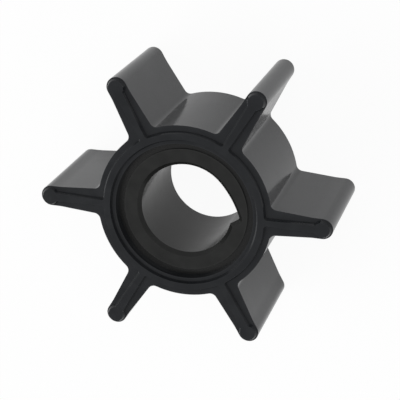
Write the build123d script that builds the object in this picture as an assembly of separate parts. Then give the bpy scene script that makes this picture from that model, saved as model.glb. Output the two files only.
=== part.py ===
from build123d import *
from math import hypot
import os

# Flexible-vane impeller for a small raw-water pump, in millimetres.
# The rubber rotor is one moulding: hub wall, six radial vanes with beaded tips and, on both end
# faces, a raised sealing line made of a ring round the hub, a rib along each vane and a boss on
# each tip. It is bonded to a hard bush, which sits back from the end faces and takes the shaft.
# +Z runs along the bore, Z = 0 is the raised line of the lower end, and the first vane is on +X.

# Overall sizes, set by the pump housing and its shaft
tip_diameter = 40.0  # over the vane tips, before the housing bends them
body_width = 16.0  # between the flat end faces of the hub and vanes
bore_diameter = 12.4

# Rubber hub and vanes
vane_count = 6
hub_wall = 2.61  # rubber round the bush
vane_root_thickness = 3.6  # where the vane leaves the hub
vane_tip_thickness = 2.78  # also the diameter of the round tip
bead_length = 1.3  # parallel stretch behind the round tip
bead_blend_radius = 8.0  # eases the taper into the parallel stretch
vane_root_fillet = 0.9
end_edge_chamfer = 0.06  # outer edge of both end faces

# Raised sealing line on both end faces
# Its widths are taken at its foot, on the flat end face, and its sides lean in from there.
relief_height = 0.45
relief_draft = 27.0  # angle of its sides to the bore axis
ring_land = 0.58  # flat left between the bush and the ring
ring_width = 1.3
rib_root_width = 1.2  # where the rib leaves the ring
rib_tip_width = 1.6  # where it runs into the boss
boss_border = 0.13  # flat left between the boss and the edge of the tip
rib_flare_radius = 0.2  # blends the rib into the boss
rib_foot_radius = 0.2  # blends the rib into the ring

# Bush
bush_wall = 3.1
bush_setback = 0.82  # face of the bush below the flat end face
rebate_width = 0.82  # step round the outside of the face
rebate_depth = 0.2
lip_flare = 0.14  # the rubber lip round the bush is this much wider at the flat end face
bore_chamfer = 0.5

# Flutes in the outside of the bush, filled by the rubber so that it can't turn on the bush
flute_count = 8
flute_radius = 1.0
flute_depth = 0.5
flute_margin = 2.4  # plain collar left at each end of the bush

# Drive notch: a wedge that deepens along a ramp tangent to the bore and ends at a step.
# Angles are from the first vane, which is about where the wedge is deepest.
notch_start_angle = 42.0
notch_depth = 1.12
notch_deepest_angle = -4.0
notch_foot_angle = -12.5  # where the step comes back to the bore
notch_corner_radius = 0.25

# Radii and levels worked out from the sizes above
bore_radius = bore_diameter / 2
bush_radius = bore_radius + bush_wall
hub_radius = bush_radius + hub_wall
ring_inner_radius = bush_radius + ring_land
ring_outer_radius = ring_inner_radius + ring_width
tip_radius = vane_tip_thickness / 2
tip_centre = tip_diameter / 2 - tip_radius
boss_radius = tip_radius - boss_border
overall_height = body_width + 2 * relief_height
mid_height = overall_height / 2
upper_flat = relief_height + body_width
bush_length = body_width - 2 * bush_setback
rim_length = bush_length - 2 * rebate_depth  # of the full round of the bush
match_tolerance = 0.001  # for picking corners by where they lie


def corners_at(shape, radius):
    """Corners of a flat outline that lie on a circle round the bore axis."""
    def on_circle(corner):
        return abs(hypot(corner.X, corner.Y) - radius) < match_tolerance

    return shape.vertices().filter_by(on_circle)


def both_ends(shape):
    """Edges of an upright solid at its lowest and highest level."""
    levels = shape.edges().group_by(Axis.Z)
    return levels[0] + levels[-1]


def vane_outline():
    """One vane along +X: straight taper out of the hub, parallel bead, full-round tip."""
    neck = tip_centre - bead_length
    taper = (vane_root_thickness / 2 - tip_radius) / (neck - hub_radius)
    heel_half = vane_root_thickness / 2 + taper * (hub_radius - bush_radius)
    upper = Polyline((bush_radius, heel_half), (neck, tip_radius), (tip_centre, tip_radius))
    tip = CenterArc((tip_centre, 0), tip_radius, 90, -180)
    lower = Polyline((tip_centre, -tip_radius), (neck, -tip_radius), (bush_radius, -heel_half))
    heel = Line((bush_radius, -heel_half), (bush_radius, heel_half))
    outline = make_face([*upper.edges(), *tip.edges(), *lower.edges(), *heel.edges()])
    necks = outline.vertices().filter_by(lambda corner: abs(corner.X - neck) < match_tolerance)
    return fillet(necks, bead_blend_radius)


def body():
    """Hub and vanes between the flat end faces, still solid in the middle."""
    outline = Circle(hub_radius) + PolarLocations(0, vane_count) * vane_outline()
    outline = fillet(corners_at(outline, hub_radius), vane_root_fillet)
    slab = Pos(0, 0, relief_height) * extrude(outline, body_width)
    return chamfer(both_ends(slab), end_edge_chamfer)


def sealing_line():
    """Ring, ribs and bosses on both end faces, with leaning sides."""
    ring_middle = ring_inner_radius + ring_width / 2
    half_root = rib_root_width / 2
    half_tip = rib_tip_width / 2
    rib = make_face(
        Polyline(
            (ring_middle, -half_root),
            (tip_centre, -half_tip),
            (tip_centre, half_tip),
            (ring_middle, half_root),
            close=True,
        )
    )
    spoke = rib + Pos(tip_centre, 0) * Circle(boss_radius)
    throat = spoke.vertices().sort_by(Axis.X)[2:4]
    spoke = fillet(throat, rib_flare_radius)
    outline = Circle(ring_outer_radius) + PolarLocations(0, vane_count) * spoke
    outline = fillet(corners_at(outline, ring_outer_radius), rib_foot_radius)
    outline -= Circle(ring_inner_radius)
    upper = extrude(Pos(0, 0, upper_flat) * outline, relief_height, taper=relief_draft)
    return upper + mirror(upper, Plane.XY.offset(mid_height))


def flutes():
    """Upright rods that are hollows in the outside of the bush and ridges inside the rubber."""
    rod = Pos(0, 0, mid_height) * Cylinder(flute_radius, rim_length - 2 * flute_margin)
    return PolarLocations(bush_radius + flute_radius - flute_depth, flute_count) * rod


def rubber_rotor():
    seat = Pos(0, 0, mid_height) * Cylinder(bush_radius, rim_length)
    lip_height = bush_setback + rebate_depth
    lip = Cone(bush_radius, bush_radius + lip_flare, lip_height)
    upper_recess = Pos(0, 0, upper_flat - lip_height / 2) * lip
    recesses = upper_recess + mirror(upper_recess, Plane.XY.offset(mid_height))
    return body() + sealing_line() - recesses - (seat - flutes())


def bore_outline():
    """Round bore with the drive notch on one side."""
    wall_sweep = 360 + notch_foot_angle - notch_start_angle
    wall = CenterArc((0, 0), bore_radius, notch_start_angle, wall_sweep)
    deepest = Vector(bore_radius + notch_depth, 0).rotate(Axis.Z, notch_deepest_angle)
    ramp = TangentArc(wall @ 0, deepest, tangent=-(wall % 0))
    step = Line(deepest, wall @ 1)
    outline = make_face([wall, ramp, step])
    inner_corner = outline.vertices().sort_by_distance((0, 0, 0))[-1]
    return fillet(inner_corner, notch_corner_radius)


def hub_bush():
    sleeve = Cylinder(bush_radius, rim_length) + Cylinder(bush_radius - rebate_width, bush_length)
    bore = Pos(0, 0, -bush_length / 2) * extrude(bore_outline(), bush_length)
    bush = Pos(0, 0, mid_height) * (sleeve - bore)
    end_faces = [bush.faces().sort_by(Axis.Z)[0], bush.faces().sort_by(Axis.Z)[-1]]
    mouths = [edge for face in end_faces for edge in face.inner_wires()[0].edges()]
    return chamfer(mouths, bore_chamfer) - flutes()


os.makedirs("parts", exist_ok=True)
export_step(rubber_rotor(), "parts/rubber_rotor.step")
export_step(hub_bush(), "parts/hub_bush.step")
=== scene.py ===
import math

import bpy
from mathutils import Matrix, Vector


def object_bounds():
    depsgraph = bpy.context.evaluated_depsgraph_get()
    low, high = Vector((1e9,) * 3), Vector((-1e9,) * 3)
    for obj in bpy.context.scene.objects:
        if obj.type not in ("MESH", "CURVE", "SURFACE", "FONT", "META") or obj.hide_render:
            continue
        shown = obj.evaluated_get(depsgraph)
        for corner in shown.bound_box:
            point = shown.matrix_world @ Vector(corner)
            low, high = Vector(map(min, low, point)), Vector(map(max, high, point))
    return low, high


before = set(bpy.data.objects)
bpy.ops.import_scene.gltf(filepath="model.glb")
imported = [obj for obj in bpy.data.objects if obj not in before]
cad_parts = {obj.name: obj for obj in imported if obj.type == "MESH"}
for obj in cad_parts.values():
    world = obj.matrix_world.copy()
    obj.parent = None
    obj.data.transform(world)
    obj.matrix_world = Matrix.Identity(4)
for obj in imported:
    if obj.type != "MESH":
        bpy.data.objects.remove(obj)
cad_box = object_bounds()
scene = bpy.context.scene


# ---------------------------------------------------------------------------
# Studio floor. A wide sheet of white paper, lit from below, that the impeller lies on. Its glow keeps
# it white for the camera, with a faint shadow. The rubber mirrors it dimmer, and dimmer still far off.
floor_half_width = 1.5
paper_colour = (0.95, 0.95, 0.95, 1)
paper_roughness = 0.9
paper_glow = 0.94  # share of the white that a shadow can't take away
mirrored_glow = 0.42  # the same share where the rubber mirrors the paper
far_paper_colour = (0.25, 0.25, 0.25, 1)  # mirrored paper beyond the lit middle of the table
lit_radius = 0.03  # where the lit middle starts to fade
unlit_radius = 0.08  # where it has faded out
white = (1, 1, 1, 1)

floor_mesh = bpy.data.meshes.new("studio_floor")
corner_signs = ((-1, -1), (1, -1), (1, 1), (-1, 1))
floor_corners = [(x * floor_half_width, y * floor_half_width, 0) for x, y in corner_signs]
floor_mesh.from_pydata(floor_corners, [], [(0, 1, 2, 3)])
floor = bpy.data.objects.new("studio_floor", floor_mesh)
scene.collection.objects.link(floor)


def feed(node, inputs):
    """Give each named or numbered input of a node its value, or link it to the output socket given."""
    for socket, source in inputs.items():
        if isinstance(source, bpy.types.NodeSocket):
            node.id_data.links.new(source, node.inputs[socket])
        else:
            node.inputs[socket].default_value = source


def put(tree, kind, inputs=None, **settings):
    """A new node with its settings made and its inputs fed."""
    node = tree.nodes.new(kind)
    for setting, value in settings.items():
        setattr(node, setting, value)
    feed(node, inputs or {})
    return node


def mix(tree, kind, share, first, second):
    """Output of a Mix node that goes from the first to the second, as "FLOAT" numbers or "RGBA" colours."""
    first_socket, second_socket, result = {"FLOAT": (2, 3, 0), "RGBA": (6, 7, 2)}[kind]
    inputs = {"Factor": share, first_socket: first, second_socket: second}
    return put(tree, "ShaderNodeMix", inputs, data_type=kind).outputs[result]


def calculate(tree, operation, first, second):
    """Output of a Math node."""
    return put(tree, "ShaderNodeMath", {0: first, 1: second}, operation=operation).outputs["Value"]


paper = bpy.data.materials.new("white_paper")
paper.use_nodes = True
tree = paper.node_tree
path = put(tree, "ShaderNodeLightPath")
place = put(tree, "ShaderNodeTexCoord").outputs["Object"]
from_middle = put(tree, "ShaderNodeVectorMath", {0: place}, operation="LENGTH").outputs["Value"]
lit_range = {"Value": from_middle, "From Min": unlit_radius, "From Max": lit_radius}
lit = put(tree, "ShaderNodeMapRange", lit_range).outputs["Result"]
mirrored = path.outputs["Is Glossy Ray"]
mirrored_lit = calculate(tree, "MULTIPLY", mirrored, lit)
mirrored_unlit = calculate(tree, "SUBTRACT", mirrored, mirrored_lit)
mirrored_share = calculate(tree, "MULTIPLY", mirrored_lit, mirrored_glow)
glow_share = mix(tree, "FLOAT", path.outputs["Is Camera Ray"], mirrored_share, paper_glow)
tone = mix(tree, "RGBA", mirrored_unlit, paper_colour, far_paper_colour)
sheet = tree.nodes["Principled BSDF"]
feed(sheet, {"Base Color": tone, "Roughness": paper_roughness, "Specular IOR Level": 0.0})
glow = put(tree, "ShaderNodeEmission", {"Color": white})
surface = {"Fac": glow_share, 1: sheet.outputs["BSDF"], 2: glow.outputs["Emission"]}
blend = put(tree, "ShaderNodeMixShader", surface)
feed(tree.nodes["Material Output"], {"Surface": blend.outputs["Shader"]})
floor_mesh.materials.append(paper)


# ---------------------------------------------------------------------------
# Studio light. Pale walls all round give a bright band above the horizon and the ceiling is dim. One
# soft box stands over the camera, one low on the side away from it, and two light the sides.
horizon_level = 0.4
ceiling_level = 0.28
band_top = 0.35  # sine of the height angle at which the band has faded into the ceiling
backdrop_level = 1.0  # white for the camera
lamp_distance = 1.2

world = bpy.data.worlds.new("studio")
scene.world = world
world.use_nodes = True
tree = world.node_tree
path = put(tree, "ShaderNodeLightPath")
direction = put(tree, "ShaderNodeTexCoord").outputs["Generated"]
height = put(tree, "ShaderNodeSeparateXYZ", {"Vector": direction}).outputs["Z"]
band = {
    "Value": height,
    "From Min": 0.0,
    "From Max": band_top,
    "To Min": horizon_level,
    "To Max": ceiling_level,
}
fade = put(tree, "ShaderNodeMapRange", band, interpolation_type="SMOOTHSTEP").outputs["Result"]
level = mix(tree, "FLOAT", path.outputs["Is Camera Ray"], fade, backdrop_level)
feed(tree.nodes["Background"], {"Color": white, "Strength": level})


def soft_box(name, azimuth, height_angle, width, watts):
    """A square lamp that looks at the object from the given direction, in degrees."""
    around, up = math.radians(azimuth), math.radians(height_angle)
    toward = Vector((math.cos(around) * math.cos(up), math.sin(around) * math.cos(up), math.sin(up)))
    light = bpy.data.lights.new(name, "AREA")
    light.size = width
    light.energy = watts
    lamp = bpy.data.objects.new(name, light)
    facing = toward.to_track_quat("Z", "Y").to_matrix().to_4x4()
    lamp.matrix_world = Matrix.Translation(toward * lamp_distance) @ facing
    scene.collection.objects.link(lamp)


soft_box("front_soft_box", azimuth=60, height_angle=62, width=0.9, watts=4.6)
soft_box("left_soft_box", azimuth=180, height_angle=35, width=0.9, watts=3.7)
soft_box("back_soft_box", azimuth=215, height_angle=32, width=0.8, watts=5.6)
soft_box("right_soft_box", azimuth=310, height_angle=45, width=0.9, watts=1.6)


# ---------------------------------------------------------------------------
# Camera. It looks down on the upper end face and past the side of the hub, and is turned about its
# own axis. Angles are in degrees and lens sizes in millimetres.
lowest, highest = cad_box
aim_point = Vector((0, -0.00125, (lowest[2] + highest[2]) / 2))
camera_azimuth = 55.47
camera_height_angle = 63.93
camera_roll = -141.33
camera_distance = 0.1933
focal_length = 126.9
sensor_width = 36
nearest_seen = 0.01
farthest_seen = 10

lens = bpy.data.cameras.new("product_camera")
lens.lens = focal_length
lens.sensor_width = sensor_width
lens.clip_start = nearest_seen
lens.clip_end = farthest_seen
camera = bpy.data.objects.new("product_camera", lens)
camera.matrix_world = (
    Matrix.Translation(aim_point)
    @ Matrix.Rotation(math.radians(camera_azimuth + 90), 4, "Z")
    @ Matrix.Rotation(math.radians(90 - camera_height_angle), 4, "X")
    @ Matrix.Rotation(math.radians(camera_roll), 4, "Z")
    @ Matrix.Translation((0, 0, camera_distance))
)
scene.collection.objects.link(camera)
scene.camera = camera
scene.view_settings.view_transform = "Standard"


# ---------------------------------------------------------------------------
# Moulded skin. The finish that both pieces take from their steel moulds: a fine pebbled grain, a slow
# waviness, patches where the black is paler and duller, and corners rubbed paler by handling.
grain_size = 0.00014
wave_size = 0.004
patch_size = 0.0022
patch_low = 0.35  # noise from here to patch_high goes from bare black to full bloom
patch_high = 0.65
corner_reach = 0.00025  # how far the wear comes in from a corner
corner_rays = 8
unworn_openness = 0.9  # share of open depth behind the skin: a flat has 1, a square corner about half
worn_openness = 0.55

moulded_skin = bpy.data.node_groups.new("moulded_skin", "ShaderNodeTree")
for side, kind, names in (
    ("INPUT", "NodeSocketColor", ("Black", "Bloom", "Wear")),
    ("INPUT", "NodeSocketFloat", ("Smoothest", "Roughest", "Grain Height", "Wave Height")),
    ("OUTPUT", "NodeSocketColor", ("Colour",)),
    ("OUTPUT", "NodeSocketFloat", ("Roughness",)),
    ("OUTPUT", "NodeSocketVector", ("Normal",)),
):
    for name in names:
        moulded_skin.interface.new_socket(name=name, in_out=side, socket_type=kind)
entry = put(moulded_skin, "NodeGroupInput").outputs
place = put(moulded_skin, "ShaderNodeTexCoord").outputs["Object"]
noise = {}
for name, size, detail in (("grain", grain_size, 2), ("wave", wave_size, 1), ("patch", patch_size, 4)):
    texture = {"Vector": place, "Scale": 1 / size, "Detail": detail}
    noise[name] = put(moulded_skin, "ShaderNodeTexNoise", texture).outputs["Fac"]
grain = {"Height": noise["grain"], "Distance": entry["Grain Height"]}
pebbled = put(moulded_skin, "ShaderNodeBump", grain).outputs["Normal"]
wave = {"Height": noise["wave"], "Distance": entry["Wave Height"], "Normal": pebbled}
normal = put(moulded_skin, "ShaderNodeBump", wave).outputs["Normal"]
patch_range = {"Value": noise["patch"], "From Min": patch_low, "From Max": patch_high}
patches = put(moulded_skin, "ShaderNodeMapRange", patch_range).outputs["Result"]
openness = put(
    moulded_skin,
    "ShaderNodeAmbientOcclusion",
    {"Distance": corner_reach},
    inside=True,
    samples=corner_rays,
).outputs["AO"]
wear_range = {"Value": openness, "From Min": unworn_openness, "From Max": worn_openness}
wear = put(moulded_skin, "ShaderNodeMapRange", wear_range).outputs["Result"]
bloomed = mix(moulded_skin, "RGBA", patches, entry["Black"], entry["Bloom"])
colour = mix(moulded_skin, "RGBA", wear, bloomed, entry["Wear"])
gloss_range = {"Value": patches, "To Min": entry["Smoothest"], "To Max": entry["Roughest"]}
roughness = put(moulded_skin, "ShaderNodeMapRange", gloss_range).outputs["Result"]
put(moulded_skin, "NodeGroupOutput", {"Colour": colour, "Roughness": roughness, "Normal": normal})


# ---------------------------------------------------------------------------
# Rubber rotor. One moulding in black nitrile rubber: hub wall, six beaded vanes and the raised sealing
# line on both end faces. The satin skin has a trace of grey bloom and mirrors a little cold.
rubber_finish = {
    "Black": (0.0135, 0.0147, 0.0165, 1),
    "Bloom": (0.0170, 0.0184, 0.0204, 1),
    "Wear": (0.0220, 0.0235, 0.0258, 1),
    "Smoothest": 0.12,
    "Roughest": 0.18,
    "Grain Height": 0.000004,
    "Wave Height": 0.00002,
}
rubber_mirror_tint = (0.975, 0.98, 1.0, 1)

rubber = bpy.data.materials.new("nitrile_rubber")
rubber.use_nodes = True
tree = rubber.node_tree
finish = put(tree, "ShaderNodeGroup", rubber_finish, node_tree=moulded_skin).outputs
skin = {
    "Base Color": finish["Colour"],
    "Roughness": finish["Roughness"],
    "Normal": finish["Normal"],
    "Specular Tint": rubber_mirror_tint,
}
feed(tree.nodes["Principled BSDF"], skin)
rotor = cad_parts["rubber_rotor"]
rotor.data.materials.clear()
rotor.data.materials.append(rubber)


# ---------------------------------------------------------------------------
# Hub bush. A hard moulded plastic sleeve bonded inside the rubber, with the shaft bore and its drive
# notch. Its satin skin is a little warmer than the rubber, and the step round its face is painted darker as
# shade in that recess.
plastic_finish = {
    "Black": (0.0140, 0.0144, 0.0139, 1),
    "Bloom": (0.0170, 0.0174, 0.0167, 1),
    "Wear": (0.0230, 0.0235, 0.0226, 1),
    "Smoothest": 0.16,
    "Roughest": 0.22,
    "Grain Height": 0.000003,
    "Wave Height": 0.00001,
}
step_radius = 0.00848  # outside this the end face steps down against the rubber
step_softness = 0.00003
# painted shade: the strip outside step_radius gets a darker colour that stands in for the shade the rubber
# lip casts into the recess, and a duller roughness
step_shade_colour = (0.0090, 0.0092, 0.0090, 1)
shaded_step_roughness = 0.26

plastic = bpy.data.materials.new("bush_plastic")
plastic.use_nodes = True
tree = plastic.node_tree
finish = put(tree, "ShaderNodeGroup", plastic_finish, node_tree=moulded_skin).outputs
place = put(tree, "ShaderNodeTexCoord").outputs["Object"]
across = put(tree, "ShaderNodeVectorMath", {0: place, 1: (1, 1, 0)}, operation="MULTIPLY").outputs["Vector"]
from_axis = put(tree, "ShaderNodeVectorMath", {0: across}, operation="LENGTH").outputs["Value"]
step_range = {
    "Value": from_axis,
    "From Min": step_radius - step_softness,
    "From Max": step_radius + step_softness,
}
# mask of the step strip, where the painted shade and the duller roughness go
step_shade = put(tree, "ShaderNodeMapRange", step_range).outputs["Result"]
skin = {
    "Base Color": mix(tree, "RGBA", step_shade, finish["Colour"], step_shade_colour),
    "Roughness": mix(tree, "FLOAT", step_shade, finish["Roughness"], shaded_step_roughness),
    "Normal": finish["Normal"],
}
feed(tree.nodes["Principled BSDF"], skin)
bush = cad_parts["hub_bush"]
bush.data.materials.clear()
bush.data.materials.append(plastic)
